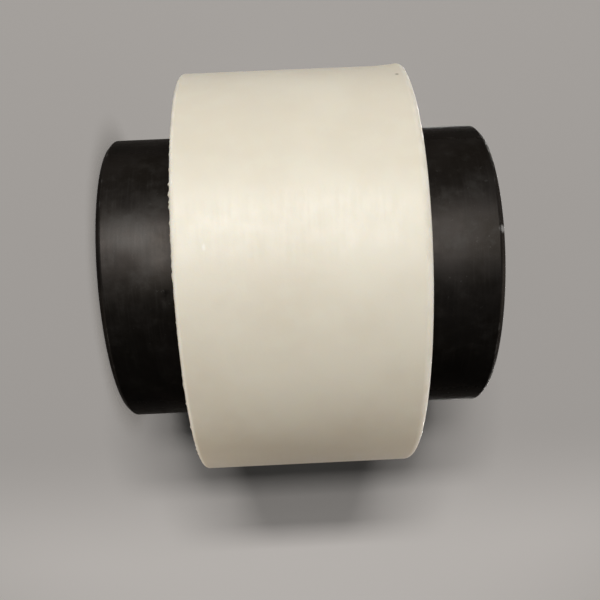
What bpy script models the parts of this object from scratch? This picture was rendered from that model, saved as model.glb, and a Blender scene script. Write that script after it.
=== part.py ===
"""Gear coupling: two steel hubs with crowned teeth inside a toothed nylon sleeve.

The coupling stands on the end face of hub_a, with its shaft axis on +Z and z = 0 on that face.
The hubs are the same piece, turned end for end. Their toothed rims lie inside the sleeve, whose
straight teeth run from end to end, and a round wire ring near each end keeps the rims in.
Each size that can be chosen is a named value below, and the rest follows from these.
"""

import math

import bmesh
import bpy
from mathutils import Matrix

# Hubs
BORE_DIAMETER = 0.038
HUB_WALL = 0.0145
HUB_LENGTH = 0.041
HUB_GAP = 0.0035
HUB_CHAMFER = 0.001
BORE_CHAMFER = 0.0008
RIM_STEP = 0.0023
RIM_FILLET = 0.001
RIM_CHAMFER = 0.0005

# Keyways and set screws
KEYWAY_WIDTH = 0.010
KEYWAY_DEPTH = 0.0033
KEYWAY_DIRECTION = math.radians(115)
SCREW_DIAMETER = 0.008
SCREW_INSET = 0.009
SCREW_SINK = 0.0006
SCREW_TIP_DEPTH = 0.0008
SOCKET_ACROSS_FLATS = 0.004
SOCKET_DEPTH = 0.004

# Teeth, which hubs and sleeve share
MODULE = 0.0015
PRESSURE_ANGLE = math.radians(20)
ADDENDUM = 0.0013
DEDENDUM = 0.0017
TOOTH_FACE = 0.015
CROWN_RADIUS = 0.060
TIP_CLEARANCE = 0.00045
FLANK_CLEARANCE = 0.0002

# Sleeve
SLEEVE_WALL = 0.00825
SLEEVE_LIP = 0.00415
SLEEVE_EDGE_A = 0.0009
SLEEVE_EDGE_B = 0.0018
SLEEVE_LEAD_IN = 0.0009

# Retaining rings
WIRE_DIAMETER = 0.0025
GROOVE_DEPTH = 0.00105
RING_OPENING = 0.009

# Clearances
FIT_GAP = 0.0003
AXIAL_FLOAT = 0.001

# How finely the round shapes are divided
SLEEVE_STEPS = 72
SCREW_STEPS = 16
SLEEVE_EDGE_STEPS = 3
HUB_FILLET_STEPS = 2
CROWN_STEPS = 3
HUB_FLANK_POINTS = 3
SLEEVE_FLANK_POINTS = 2
RING_POINTS = 36
OVERCUT = 0.001

# What follows from the sizes above
BORE_RADIUS = BORE_DIAMETER / 2
HUB_RADIUS = BORE_RADIUS + HUB_WALL
TEETH = round(2 * (HUB_RADIUS + RIM_STEP + DEDENDUM) / MODULE)
TOOTH_PITCH = math.tau / TEETH
PITCH_RADIUS = TEETH * MODULE / 2
BASE_RADIUS = PITCH_RADIUS * math.cos(PRESSURE_ANGLE)
HUB_TIP = PITCH_RADIUS + ADDENDUM
HUB_ROOT = PITCH_RADIUS - DEDENDUM
SLEEVE_TIP = HUB_ROOT + TIP_CLEARANCE
SLEEVE_ROOT = HUB_TIP + TIP_CLEARANCE
SLEEVE_RADIUS = SLEEVE_ROOT + SLEEVE_WALL
GROOVE_RADIUS = SLEEVE_ROOT + GROOVE_DEPTH
GROOVE_WIDTH = WIRE_DIAMETER + 2 * FIT_GAP
RING_RADIUS = GROOVE_RADIUS - FIT_GAP - WIRE_DIAMETER / 2
RING_OFFSET = HUB_GAP / 2 + TOOTH_FACE + AXIAL_FLOAT + FIT_GAP + WIRE_DIAMETER / 2
SLEEVE_HALF = RING_OFFSET + GROOVE_WIDTH / 2 + SLEEVE_LIP
TOTAL_LENGTH = 2 * HUB_LENGTH + HUB_GAP
MIDDLE = TOTAL_LENGTH / 2

# Finish of each material: colour, roughness and metallic value
FINISHES = {
    "ivory_nylon": ((0.73, 0.68, 0.57), 0.42, 0.0),
    "black_oxide_steel": ((0.018, 0.018, 0.021), 0.40, 0.85),
    "spring_wire": ((0.20, 0.19, 0.18), 0.35, 1.0),
    "screw_steel": ((0.035, 0.034, 0.036), 0.38, 0.9),
}
SMOOTH_ANGLE = math.radians(32)
WELD_DISTANCE = 0.00001


def clear_scene():
    """Remove the objects that a new file starts with."""
    for obj in list(bpy.data.objects):
        bpy.data.objects.remove(obj)


def new_collection(name):
    """A collection linked to the scene."""
    collection = bpy.data.collections.new(name)
    bpy.context.scene.collection.children.link(collection)
    return collection


def make_material(name):
    """A Principled BSDF material with one of the named finishes."""
    colour, roughness, metallic = FINISHES[name]
    material = bpy.data.materials.new(name)
    material.use_nodes = True
    material.diffuse_color = (*colour, 1.0)
    shader = material.node_tree.nodes["Principled BSDF"]
    shader.inputs["Base Color"].default_value = (*colour, 1.0)
    shader.inputs["Roughness"].default_value = roughness
    shader.inputs["Metallic"].default_value = metallic
    return material


def new_object(name, data, collection):
    """An object for a mesh or a curve, in a collection."""
    obj = bpy.data.objects.new(name, data)
    collection.objects.link(obj)
    return obj


def arc_points(centre_r, centre_z, radius, start, end, steps):
    """Profile points along an arc of the r-z plane, both ends included, angles in degrees."""
    points = []
    for index in range(steps + 1):
        angle = math.radians(start + (end - start) * index / steps)
        points.append((centre_r + radius * math.cos(angle), centre_z + radius * math.sin(angle)))
    return points


def profile_mesh(name, loops, closed=True):
    """A mesh of r-z outlines in the X-Z plane, ready to be turned about Z."""
    mesh = bpy.data.meshes.new(name)
    vertices = []
    edges = []
    for loop in loops:
        first = len(vertices)
        count = len(loop)
        vertices += [(r, 0.0, z) for r, z in loop]
        edges += [(first + index, first + index + 1) for index in range(count - 1)]
        if closed:
            edges.append((first + count - 1, first))
    mesh.from_pydata(vertices, edges, [])
    return mesh


def turned(name, loops, steps, collection, closed=True):
    """A turned piece: its outlines run once round Z with a Screw modifier."""
    obj = new_object(name, profile_mesh(name, loops, closed), collection)
    screw = obj.modifiers.new("turn", "SCREW")
    screw.axis = "Z"
    screw.angle = math.tau
    screw.steps = steps
    screw.render_steps = steps
    screw.use_merge_vertices = True
    screw.merge_threshold = WELD_DISTANCE
    return obj


def cut(target, cutter):
    """Take a cutter's shape out of a target."""
    cutter.display_type = "WIRE"
    cutter.hide_render = True
    modifier = target.modifiers.new("cut_" + cutter.name, "BOOLEAN")
    modifier.operation = "DIFFERENCE"
    modifier.solver = "EXACT"
    modifier.object = cutter


def evaluated_mesh(obj):
    """The mesh that an object's modifiers or curve settings give."""
    bpy.context.view_layer.update()
    graph = bpy.context.evaluated_depsgraph_get()
    return bpy.data.meshes.new_from_object(obj.evaluated_get(graph))


def settle(obj, cutters=()):
    """Make the cuts and turns of a piece its own mesh, shade it, and remove its cutters."""
    mesh = evaluated_mesh(obj)
    obj.modifiers.clear()
    obj.data = mesh
    mesh.shade_smooth()
    mesh.set_sharp_from_angle(angle=SMOOTH_ANGLE)
    for cutter in cutters:
        bpy.data.objects.remove(cutter)


def welded(obj, collection):
    """A curve object as a closed mesh object of the same name and place."""
    mesh = evaluated_mesh(obj)
    bm = bmesh.new()
    bm.from_mesh(mesh)
    bmesh.ops.remove_doubles(bm, verts=bm.verts, dist=WELD_DISTANCE)
    bmesh.ops.recalc_face_normals(bm, faces=bm.faces)
    bm.to_mesh(mesh)
    bm.free()
    name = obj.name
    place = obj.matrix_world.copy()
    bpy.data.objects.remove(obj)
    solid = new_object(name, mesh, collection)
    solid.matrix_world = place
    return solid


def involute(angle):
    """The involute function of a pressure angle."""
    return math.tan(angle) - angle


def tooth_half_angle(radius):
    """Half the angle that a hub tooth covers at a radius, from the involute of its base circle."""
    half_thickness = (math.pi * MODULE / 2 - FLANK_CLEARANCE) / 2
    pressure = math.acos(min(1.0, BASE_RADIUS / radius))
    return half_thickness / PITCH_RADIUS + involute(PRESSURE_ANGLE) - involute(pressure)


def flank_radii(low, high, count):
    """Radii at which a flank between two circles has its points."""
    step = (high - low) / (count - 1)
    return [low + index * step for index in range(count)]


def polar(radius, angle):
    """A point of the X-Y plane."""
    return (radius * math.cos(angle), radius * math.sin(angle))


def crown_drop(offset):
    """How far a crowned surface falls at an offset from the middle of the tooth face."""
    return CROWN_RADIUS - math.sqrt(CROWN_RADIUS**2 - offset**2)


def hub_profile():
    """Outline of a hub blank, whose outer end is at z = 0 and whose toothed rim is on top."""
    rim_side = HUB_LENGTH - TOOTH_FACE
    crown_half = TOOTH_FACE / 2 - RIM_CHAMFER
    rim_edge = HUB_TIP - crown_drop(crown_half) - RIM_CHAMFER
    points = [(BORE_RADIUS + BORE_CHAMFER, HUB_LENGTH), (rim_edge, HUB_LENGTH)]
    for index in range(CROWN_STEPS + 1):
        offset = crown_half * (1 - 2 * index / CROWN_STEPS)
        points.append((HUB_TIP - crown_drop(offset), rim_side + TOOTH_FACE / 2 + offset))
    points.append((rim_edge, rim_side))
    fillet_centre = (HUB_RADIUS + RIM_FILLET, rim_side - RIM_FILLET)
    points += arc_points(*fillet_centre, RIM_FILLET, 90, 180, HUB_FILLET_STEPS)
    points += [
        (HUB_RADIUS, HUB_CHAMFER),
        (HUB_RADIUS - HUB_CHAMFER, 0.0),
        (BORE_RADIUS + BORE_CHAMFER, 0.0),
        (BORE_RADIUS, BORE_CHAMFER),
        (BORE_RADIUS, HUB_LENGTH - BORE_CHAMFER),
    ]
    return points


def tooth_space_cutter(collection):
    """Every space between a hub's teeth.

    Each space has the involute flanks of its neighbours. It is swung about a crosswise axis
    far inside the hub, so it is deeper and wider at both ends, which crowns the teeth.
    """
    middle = HUB_LENGTH - TOOTH_FACE / 2
    radii = [*flank_radii(HUB_ROOT, HUB_TIP, HUB_FLANK_POINTS), HUB_TIP + OVERCUT / 2]
    half_angles = [TOOTH_PITCH / 2 - tooth_half_angle(radius) for radius in radii]
    right = [polar(radius, -angle) for radius, angle in zip(radii, half_angles)]
    left = [polar(radius, angle) for radius, angle in zip(radii, half_angles)]
    outline = right + left[::-1]

    bm = bmesh.new()
    face = bm.faces.new([bm.verts.new((x, y, middle)) for x, y in outline])
    centre = (HUB_ROOT - CROWN_RADIUS, 0.0, middle)
    swing = math.asin((TOOTH_FACE / 2 + OVERCUT) / CROWN_RADIUS)
    start = Matrix.Rotation(-swing, 3, "Y")
    bmesh.ops.rotate(bm, verts=bm.verts, cent=centre, matrix=start)
    bmesh.ops.spin(
        bm,
        geom=[face, *face.edges, *face.verts],
        cent=centre,
        axis=(0.0, 1.0, 0.0),
        angle=2 * swing,
        steps=CROWN_STEPS,
    )
    bmesh.ops.recalc_face_normals(bm, faces=bm.faces)

    space = [*bm.verts, *bm.edges, *bm.faces]
    for index in range(1, TEETH):
        copied = bmesh.ops.duplicate(bm, geom=space)["geom"]
        corners = [item for item in copied if isinstance(item, bmesh.types.BMVert)]
        turn = Matrix.Rotation(index * TOOTH_PITCH, 3, "Z")
        bmesh.ops.rotate(bm, verts=corners, cent=(0.0, 0.0, 0.0), matrix=turn)
    mesh = bpy.data.meshes.new("tooth_spaces")
    bm.to_mesh(mesh)
    bm.free()
    return new_object("tooth_spaces", mesh, collection)


def keyway_cutter(collection):
    """The keyway's block, open to the bore and to both ends of the hub."""
    depth = BORE_RADIUS + KEYWAY_DEPTH
    length = HUB_LENGTH + 2 * OVERCUT
    bm = bmesh.new()
    bmesh.ops.create_cube(bm, size=1.0)
    bmesh.ops.scale(bm, verts=bm.verts, vec=(depth, KEYWAY_WIDTH, length))
    bmesh.ops.translate(bm, verts=bm.verts, vec=(depth / 2, 0.0, HUB_LENGTH / 2))
    mesh = bpy.data.meshes.new("keyway")
    bm.to_mesh(mesh)
    bm.free()
    return new_object("keyway", mesh, collection)


def screw_hole_cutter(collection):
    """The set screw's hole, from inside the keyway out through the hub's side."""
    inner = BORE_RADIUS + KEYWAY_DEPTH / 2
    length = HUB_RADIUS + OVERCUT - inner
    place = Matrix.Translation((inner + length / 2, 0.0, SCREW_INSET))
    bm = bmesh.new()
    bmesh.ops.create_cone(
        bm,
        cap_ends=True,
        segments=SCREW_STEPS,
        radius1=SCREW_DIAMETER / 2 + FIT_GAP,
        radius2=SCREW_DIAMETER / 2 + FIT_GAP,
        depth=length,
        matrix=place @ Matrix.Rotation(math.pi / 2, 4, "Y"),
    )
    mesh = bpy.data.meshes.new("screw_hole")
    bm.to_mesh(mesh)
    bm.free()
    return new_object("screw_hole", mesh, collection)


def make_hub(name, parts, cutters, material):
    """One hub: turned blank, toothed rim, keyway and set screw hole, keyway towards +X.

    The blank has one facet for each tooth, whose edges fall in the tooth spaces.
    """
    hub = turned(name, [hub_profile()], TEETH, parts)
    tools = [tooth_space_cutter(cutters), keyway_cutter(cutters), screw_hole_cutter(cutters)]
    for tool in tools:
        cut(hub, tool)
    settle(hub, tools)
    hub.data.materials.append(material)
    return hub


def sleeve_profile():
    """Outline of the sleeve blank: a plain tube whose bore is narrower than its teeth."""
    inner = HUB_RADIUS
    outer = SLEEVE_RADIUS
    rounded_b = arc_points(
        outer - SLEEVE_EDGE_B, SLEEVE_HALF - SLEEVE_EDGE_B, SLEEVE_EDGE_B, 90, 0, SLEEVE_EDGE_STEPS
    )
    rounded_a = arc_points(
        outer - SLEEVE_EDGE_A, SLEEVE_EDGE_A - SLEEVE_HALF, SLEEVE_EDGE_A, 0, -90, SLEEVE_EDGE_STEPS
    )
    return [(inner, SLEEVE_HALF), *rounded_b, *rounded_a, (inner, -SLEEVE_HALF)]


def sleeve_void_cutter(collection):
    """The sleeve's toothed bore: a gear outline that leaves a clearance round the hub's teeth."""
    points = []
    for index in range(TEETH):
        middle = index * TOOTH_PITCH
        radii = flank_radii(SLEEVE_TIP, SLEEVE_ROOT, SLEEVE_FLANK_POINTS)
        angles = [tooth_half_angle(radius) + FLANK_CLEARANCE / radius for radius in radii]
        points += [polar(radius, middle - angle) for radius, angle in zip(radii, angles)]
        points += [polar(radius, middle + angle) for radius, angle in zip(radii[::-1], angles[::-1])]
    curve = bpy.data.curves.new("toothed_bore", "CURVE")
    curve.dimensions = "2D"
    curve.fill_mode = "BOTH"
    curve.extrude = SLEEVE_HALF + OVERCUT
    spline = curve.splines.new("POLY")
    spline.points.add(len(points) - 1)
    for point, (x, y) in zip(spline.points, points):
        point.co = (x, y, 0.0, 1.0)
    spline.use_cyclic_u = True
    return welded(new_object("toothed_bore", curve, collection), collection)


def sleeve_ring_cutter(collection):
    """The two ring grooves and the bevelled mouths at the ends of the toothed bore."""
    inner = SLEEVE_TIP - OVERCUT
    half = GROOVE_WIDTH / 2
    low_mouth = -SLEEVE_HALF - OVERCUT
    loops = []
    for middle in (-RING_OFFSET, RING_OFFSET):
        loops.append(
            [
                (inner, middle + half),
                (GROOVE_RADIUS, middle + half),
                (GROOVE_RADIUS, middle - half),
                (inner, middle - half),
            ]
        )
    reach = SLEEVE_LEAD_IN + 2 * OVERCUT
    loops.append([(inner, -low_mouth), (inner + reach, -low_mouth), (inner, -low_mouth - reach)])
    loops.append([(inner, low_mouth + reach), (inner + reach, low_mouth), (inner, low_mouth)])
    return turned("grooves_and_mouths", loops, TEETH, collection)


def make_sleeve(parts, cutters, material):
    """The nylon sleeve, centred on its own origin, with a tooth space towards +X."""
    sleeve = turned("sleeve", [sleeve_profile()], SLEEVE_STEPS, parts)
    tools = [sleeve_void_cutter(cutters), sleeve_ring_cutter(cutters)]
    for tool in tools:
        cut(sleeve, tool)
    settle(sleeve, tools)
    sleeve.data.materials.append(material)
    return sleeve


def make_ring(name, parts, material):
    """A round wire ring, sprung into its groove, with an opening between its ends."""
    half_opening = RING_OPENING / (2 * RING_RADIUS)
    sweep = math.tau - 2 * half_opening
    curve = bpy.data.curves.new(name, "CURVE")
    curve.dimensions = "3D"
    curve.bevel_depth = WIRE_DIAMETER / 2
    curve.bevel_resolution = 2
    curve.use_fill_caps = True
    spline = curve.splines.new("POLY")
    spline.points.add(RING_POINTS - 1)
    for index, point in enumerate(spline.points):
        angle = half_opening + sweep * index / (RING_POINTS - 1)
        point.co = (*polar(RING_RADIUS, angle), 0.0, 1.0)
    ring = new_object(name, curve, parts)
    ring.data.materials.append(material)
    return ring


def make_set_screw(name, parts, cutters, material):
    """A cup point grub screw along Z, whose z is the distance from the hub's axis."""
    radius = SCREW_DIAMETER / 2
    top = HUB_RADIUS - SCREW_SINK
    tip = BORE_RADIUS + KEYWAY_DEPTH
    profile = [
        (0.0, top),
        (radius - SCREW_TIP_DEPTH / 2, top),
        (radius, top - SCREW_TIP_DEPTH / 2),
        (radius, tip + radius / 2),
        (radius / 2, tip),
        (0.0, tip + SCREW_TIP_DEPTH),
    ]
    screw = turned(name, [profile], SCREW_STEPS, parts, closed=False)
    bm = bmesh.new()
    bmesh.ops.create_cone(
        bm,
        cap_ends=True,
        segments=6,
        radius1=SOCKET_ACROSS_FLATS / math.sqrt(3),
        radius2=SOCKET_ACROSS_FLATS / math.sqrt(3),
        depth=2 * SOCKET_DEPTH,
        matrix=Matrix.Translation((0.0, 0.0, top)),
    )
    mesh = bpy.data.meshes.new("hex_socket")
    bm.to_mesh(mesh)
    bm.free()
    socket = new_object("hex_socket", mesh, cutters)
    cut(screw, socket)
    settle(screw, [socket])
    screw.data.materials.append(material)
    return screw


def main():
    """Build the pieces and put them together."""
    clear_scene()
    parts = new_collection("gear_coupling")
    cutters = new_collection("cutters")
    nylon = make_material("ivory_nylon")
    steel = make_material("black_oxide_steel")
    wire = make_material("spring_wire")
    screw_steel = make_material("screw_steel")

    clocking = Matrix.Rotation(KEYWAY_DIRECTION, 4, "Z")
    end_for_end = Matrix.Rotation(math.pi, 4, "X")
    across = Matrix.Rotation(math.pi / 2, 4, "Y")

    hub_a = make_hub("hub_a", parts, cutters, steel)
    hub_b = new_object("hub_b", hub_a.data, parts)
    hub_a.matrix_world = clocking
    hub_b.matrix_world = Matrix.Translation((0.0, 0.0, TOTAL_LENGTH)) @ clocking @ end_for_end

    sleeve = make_sleeve(parts, cutters, nylon)
    half_pitch = Matrix.Rotation(TOOTH_PITCH / 2, 4, "Z")
    sleeve.matrix_world = Matrix.Translation((0.0, 0.0, MIDDLE)) @ clocking @ half_pitch

    for name, side in (("retaining_ring_a", -1), ("retaining_ring_b", 1)):
        ring = make_ring(name, parts, wire)
        opening = Matrix.Rotation(KEYWAY_DIRECTION + side * math.pi / 2, 4, "Z")
        ring.matrix_world = Matrix.Translation((0.0, 0.0, MIDDLE + side * RING_OFFSET)) @ opening

    screw_a = make_set_screw("set_screw_a", parts, cutters, screw_steel)
    screw_b = new_object("set_screw_b", screw_a.data, parts)
    for screw, height in ((screw_a, SCREW_INSET), (screw_b, TOTAL_LENGTH - SCREW_INSET)):
        screw.matrix_world = Matrix.Translation((0.0, 0.0, height)) @ clocking @ across


main()
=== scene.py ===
"""Gear coupling scene: fine surfaces, finishes, floor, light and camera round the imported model.

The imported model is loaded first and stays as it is. Each operator makes one group of pieces in
metres, in the model's own place: the shaft axis on +Z and the outer end of hub_a on z = 0.
"""

import math
from collections import namedtuple
from functools import partial

import bmesh
import bpy
import numpy as np
from bpy.props import FloatProperty, FloatVectorProperty, IntProperty, PointerProperty
from mathutils import Euler, Matrix, Vector


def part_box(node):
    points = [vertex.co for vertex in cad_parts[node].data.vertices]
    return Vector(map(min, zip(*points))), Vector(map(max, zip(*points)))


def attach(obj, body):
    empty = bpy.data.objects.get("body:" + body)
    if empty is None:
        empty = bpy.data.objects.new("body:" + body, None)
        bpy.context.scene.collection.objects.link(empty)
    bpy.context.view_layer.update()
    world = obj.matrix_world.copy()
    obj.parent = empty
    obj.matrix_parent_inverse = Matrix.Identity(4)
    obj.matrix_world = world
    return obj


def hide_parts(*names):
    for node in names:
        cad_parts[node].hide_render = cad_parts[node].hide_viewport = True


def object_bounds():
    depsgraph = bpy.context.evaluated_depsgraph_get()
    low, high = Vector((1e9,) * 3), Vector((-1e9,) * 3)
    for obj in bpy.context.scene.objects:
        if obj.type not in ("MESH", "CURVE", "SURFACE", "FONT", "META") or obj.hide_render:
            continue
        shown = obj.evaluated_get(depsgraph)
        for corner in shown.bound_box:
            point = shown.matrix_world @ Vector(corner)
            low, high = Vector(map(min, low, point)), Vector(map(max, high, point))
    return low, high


bl_info = {
    "name": "Gear Coupling Pieces",
    "version": (1, 0, 0),
    "blender": (4, 5, 0),
    "location": "3D View > Sidebar > Coupling",
    "description": "Makes the surfaces, finishes and studio of a nylon sleeve gear coupling",
    "category": "Add Mesh",
}

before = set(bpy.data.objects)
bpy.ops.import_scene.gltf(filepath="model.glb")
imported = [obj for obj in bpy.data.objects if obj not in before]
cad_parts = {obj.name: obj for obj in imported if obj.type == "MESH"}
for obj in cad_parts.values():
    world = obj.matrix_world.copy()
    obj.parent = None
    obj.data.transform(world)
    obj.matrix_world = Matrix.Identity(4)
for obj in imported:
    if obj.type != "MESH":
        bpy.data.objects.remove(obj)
CAD_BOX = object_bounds()
SLEEVE_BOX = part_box("sleeve")
HUB_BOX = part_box("hub_a")
TOTAL_LENGTH = CAD_BOX[1].z

MM = 0.001
MERGE_DISTANCE = 0.001 * MM
SHARP_ANGLE = math.radians(38)
EDGE_LAYER = "edge"

# A mark lies at a centre, in millimetres, and reaches so far; a squeeze above 1 narrows it.
Mark = namedtuple("Mark", "centre reach squeeze", defaults=[(1, 1, 1)])
# The pit: dented, and painted dark as painted shade in the dent.
PIT = Mark((-41.05, -23.75, 65.0), 0.55)
SLEEVE_NICK = Mark((-5.66, -47.1, 24.1), 0.45, (0.5, 1.0, 1.0))
# Two patches on hub_a, painted paler where its highlight falls: a painted highlight.
PAINTED_HIGHLIGHT_SPOT = Mark((-10.4, -31.8, 7.6), 7)
PAINTED_HIGHLIGHT_LOWER_SPOT = Mark((-5.5, -33.0, 11.0), 5)
DULL_PATCH = Mark((-2.4, -33.4, 4.0), 9, (1.4, 1.0, 1.0))
SMUDGE = Mark((3.29, -33.34, 14.4), 1.6)
HUB_NICK = Mark((-7.3, -32.2, 84.9), 1.1)

# The swelling on the soft edge: places round the axis and widths, as angles.
LUMP_PLACE, LUMP_WIDTH = math.radians(-162), math.radians(7)
BULGE_PLACE, BULGE_WIDTH = math.radians(-160), math.radians(11)
SWELLING_REACH = 3.4 * MM

# Flecks on the crisp edge: ranges of width in radians and of the root of the height's share.
FLECKS = 220
FLECK_SEED = 5
FLECK_WIDTHS = (0.0035, 0.012)
FLECK_HEIGHTS = (0.25, 0.82)
FLECK_BAND = 0.22 * MM
FLECK_DEPTH = 0.2 * MM
# Three more, by place in degrees, width in radians and share of the height.
PLACED_FLECKS = np.array([(-112.8, 0.006, 1.0), (-108.3, 0.005, 0.8), (-98.9, 0.009, 0.45)]).T

# The longest runs between two rows, then counts of points.
SLEEVE_RUN = 3.2 * MM
HUB_RUN = 3.9 * MM
FLANK_POINTS = 5
HOLE_COLUMNS = 64
SCREW_ROWS, SCREW_COLUMNS = 110, 72
RING_ROWS, RING_COLUMNS, RING_END_ROWS = 300, 28, 7

# Colours of wear and marks, and of painted highlights and painted shade, in linear light.
NYLON_PALE = (0.735, 0.715, 0.6)
NYLON_GRAIN = (0.6, 0.545, 0.42)
# Paler tone on the corners that stand out: partly rubbed wear, partly a painted highlight along
# the edges.
NYLON_RUBBED_AND_HIGHLIGHT = (0.85, 0.825, 0.74)
NYLON_NICK = (0.88, 0.86, 0.8)
# Painted shade in the pit.
NYLON_PIT_SHADE = (0.24, 0.21, 0.13)
GREASE = (0.36, 0.33, 0.27)
OXIDE_PALE = (0.05, 0.0465, 0.0425)
OXIDE_MARKS = (0.042, 0.039, 0.0355)
OXIDE_SPECK = (0.085, 0.081, 0.076)
# Paler steel for the painted highlight on hub_a.
OXIDE_PAINTED_HIGHLIGHT = (0.055, 0.0515, 0.0475)
OXIDE_DULL = (0.0135, 0.0115, 0.01)
OXIDE_SMUDGE = (0.006, 0.005, 0.0045)
OXIDE_GRAZING = (0.33, 0.32, 0.31)
BARE_GRAZING = (0.9, 0.9, 0.9)
WIRE_STREAK = (0.15, 0.14, 0.13)
WIRE_OIL = (0.07, 0.062, 0.052)
SCREW_DARK = (0.03, 0.028, 0.027)
SCREW_GRAIN = (0.12, 0.116, 0.112)
FLAG_BLACK = (0.02, 0.02, 0.02)

# Lamps round the part's middle: heading from +X towards +Y and rise above the horizon, in
# degrees, then distance, width and height in metres.
Lamp = namedtuple("Lamp", "heading rise distance size")
LAMPS = {
    "key": Lamp(-123, -3, 0.5, (0.12, 0.3)),
    "front": Lamp(-104, -3, 0.5, (0.12, 0.3)),
    "rear": Lamp(90, 26, 0.6, (0.6, 0.5)),
    "top": Lamp(90, 65, 0.6, (0.45, 0.45)),
    "low": Lamp(-108, 0, 1.5, (0.17, 0.42)),
    "high": Lamp(-119.7, 0, 1.5, (0.13, 0.6)),
    "bounce_a": Lamp(-25, -40.6, 0.092, (0.03, 0.03)),
    "bounce_b": Lamp(-25, 40.6, 0.092, (0.03, 0.03)),
}
WHITE = (1.0, 1.0, 1.0)
ROSY = (1.0, 0.88, 0.78)

# The floor and the wall: half their side, where they clear, and where the wall is painted paler
# towards +X, as painted light.
STAGE_REACH = 0.2
FLOOR_SINK = 0.2 * MM
WALL_GAP = 0.1 * MM
FLOOR_CLEARS = (30 * MM, 41 * MM)
WALL_CLEARS = (110 * MM, 190 * MM)
WALL_PAINTED_LIGHT = (50 * MM, 95 * MM)
WALL_PAINTED_LIGHT_BY = 1.38

# The black flag that the steel reflects, a painted dark reflection for the dark room and the shade
# beside the part: radius, heights, headings in degrees and panels.
FLAG_RADIUS = 0.62
FLAG_HEIGHTS = (-0.5, 0.6)
FLAG_HEADINGS = (-165.0, 40.0)
FLAG_PANELS = 41

CAMERA_PLACE = (0.0, -193.86 * MM, 39.33 * MM)
CAMERA_TURN = (105.115, -87.176, -23.067)
CAMERA_LENS = 45.876
CAMERA_SHIFT = (-0.0013, 0.134)


def amount(name, description, default, **settings):
    """A property that isn't below 0."""
    return FloatProperty(name=name, description=description, default=default, min=0.0, **settings)


def colour(name, description, default):
    """A colour property in linear light."""
    return FloatVectorProperty(
        name=name, description=description, default=default, size=3, min=0, max=1, subtype="COLOR"
    )


# Lengths are in metres, angles in radians and the powers of lamps in watts. A level is the light
# that lamps give a plain surface, on the scale of the ambient light.
length = partial(amount, precision=5, unit="LENGTH")
power = partial(amount, precision=4, unit="POWER")
angular = partial(amount, subtype="ANGLE")
level = amount


class CouplingTeeth(bpy.types.PropertyGroup):
    """Teeth that the hubs and the sleeve share."""

    count: IntProperty(name="Teeth", description="Number of teeth", default=50, min=12)
    module: length("Module", "Pitch diameter over the number of teeth", 1.5 * MM)
    pressure_angle: angular("Pressure angle", "Angle on the pitch circle", math.radians(20))
    addendum: length("Addendum", "Hub tooth above the pitch circle", 1.3 * MM)
    dedendum: length("Dedendum", "Hub tooth space below the pitch circle", 1.7 * MM)
    tip_clearance: length("Tip clearance", "Gap between tips and roots", 0.45 * MM)
    flank_clearance: length("Flank clearance", "Gap between flanks", 0.2 * MM)
    face: length("Tooth face", "Length of the hub teeth along the axis", 15 * MM)
    crown_radius: length("Crown radius", "Radius that crowns the hub teeth", 60 * MM)
    corner: length("Corner", "Easing of the tooth corners", 0.16 * MM)


class CouplingSleeve(bpy.types.PropertyGroup):
    """The nylon sleeve."""

    radius: length("Radius", "Outside radius", SLEEVE_BOX[1].x - 0.004 * MM)
    edge_a: length("Edge A", "Rounding of the crisp end", 0.9 * MM)
    edge_b: length("Edge B", "Rounding of the soft end", 1.8 * MM)
    lead_in: length("Lead-in", "Bevel at the mouths of the toothed bore", 0.9 * MM)
    groove_offset: length("Groove offset", "Ring groove from the middle", 19.3 * MM)
    groove_width: length("Groove width", "Width of a ring groove", 3.1 * MM)
    groove_depth: length("Groove depth", "Ring groove below the tooth roots", 1.05 * MM)
    burr: length("Burr", "Height of the flecks on the crisp edge", 0.26 * MM)
    lump: length("Lump", "Height of the low swelling on the soft edge", 0.42 * MM)
    bulge: length("Bulge", "Push of the same swelling along the axis", 0.22 * MM)
    colour: colour("Nylon", "Ivory nylon", (0.735, 0.698, 0.59))
    shade: colour("Cloud", "Slightly darker clouds in the nylon", (0.7, 0.655, 0.545))


class CouplingHubs(bpy.types.PropertyGroup):
    """The two steel hubs, which are the same piece turned end for end."""

    radius: length("Radius", "Radius of the boss", 33.5 * MM)
    bore: length("Bore", "Radius of the bore", 19 * MM)
    chamfer: length("Chamfer", "Chamfer of the outer end", 1 * MM)
    bore_chamfer: length("Bore chamfer", "Chamfer of the bore", 0.8 * MM)
    rim_fillet: length("Rim fillet", "Fillet between boss and rim", 1 * MM)
    rim_chamfer: length("Rim chamfer", "Chamfer at the ends of the teeth", 0.5 * MM)
    keyway_width: length("Keyway width", "Width of the keyway", 10 * MM)
    keyway_depth: length("Keyway depth", "Keyway above the bore", 3.3 * MM)
    keyway_direction: angular(
        "Keyway direction", "Keyways and set screws, from +X towards +Y", math.radians(115)
    )
    colour: colour("Oxide", "Black oxide on turned steel", (0.034, 0.0298, 0.0268))
    stain: colour("Stain", "Brownish patches of the oxide", (0.024, 0.0205, 0.0172))
    bare: colour("Bare steel", "Steel where the oxide is rubbed through", (0.16, 0.155, 0.148))


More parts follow.
